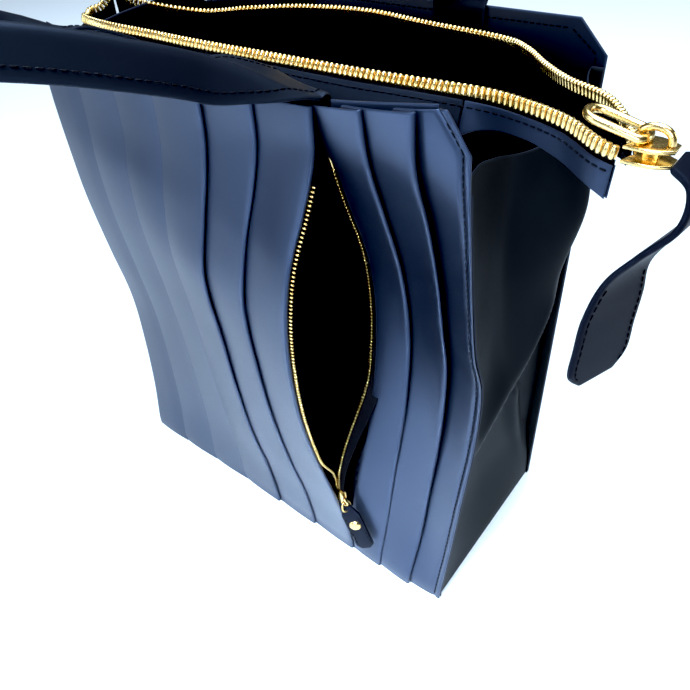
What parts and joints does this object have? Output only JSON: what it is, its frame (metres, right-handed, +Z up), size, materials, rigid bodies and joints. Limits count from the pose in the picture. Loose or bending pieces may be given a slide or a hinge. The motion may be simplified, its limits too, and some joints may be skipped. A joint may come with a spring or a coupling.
{
  "type": "tote bag",
  "caption": "Upright leather tote bag with a knife-pleated front, a zip pocket under one pleat, an open main zip and a pair of folded handles.",
  "frame": {"origin": "middle of the base's underside, on the floor", "axes": "+X along the front to the wearer's right of the picture, +Y from the pleated front to the back, +Z up"},
  "size_m": [0.4113, 0.3769, 0.5735],
  "materials": {
    "leather": "smooth, soft sheen",
    "pouch_cloth": "matt woven",
    "zip_tape": "matt woven",
    "brass": "polished"
  },
  "bodies": {
    "root": {"base": "leather", "back_panel": "leather", "front_panel_left": "leather", "front_panel_right": "leather", "gusset_left": "leather", "gusset_right": "leather", "zip_strip_front": "leather", "zip_strip_back": "leather", "zip_end_tab": "leather", "handle_front": "leather", "handle_back": "leather", "pocket_tab": "leather", "pocket_bag": "pouch_cloth", "pocket_tape_left": "zip_tape", "pocket_tape_right": "zip_tape", "zip_tape_front": "zip_tape", "zip_tape_back": "zip_tape", "pocket_teeth_left": "brass", "pocket_teeth_right": "brass", "pocket_slider": "brass", "pocket_ring": "brass", "pocket_rivet": "brass", "zip_teeth_front": "brass", "zip_teeth_back": "brass", "zip_slider": "brass", "zip_pull": "brass"}
  },
  "joints": []
}
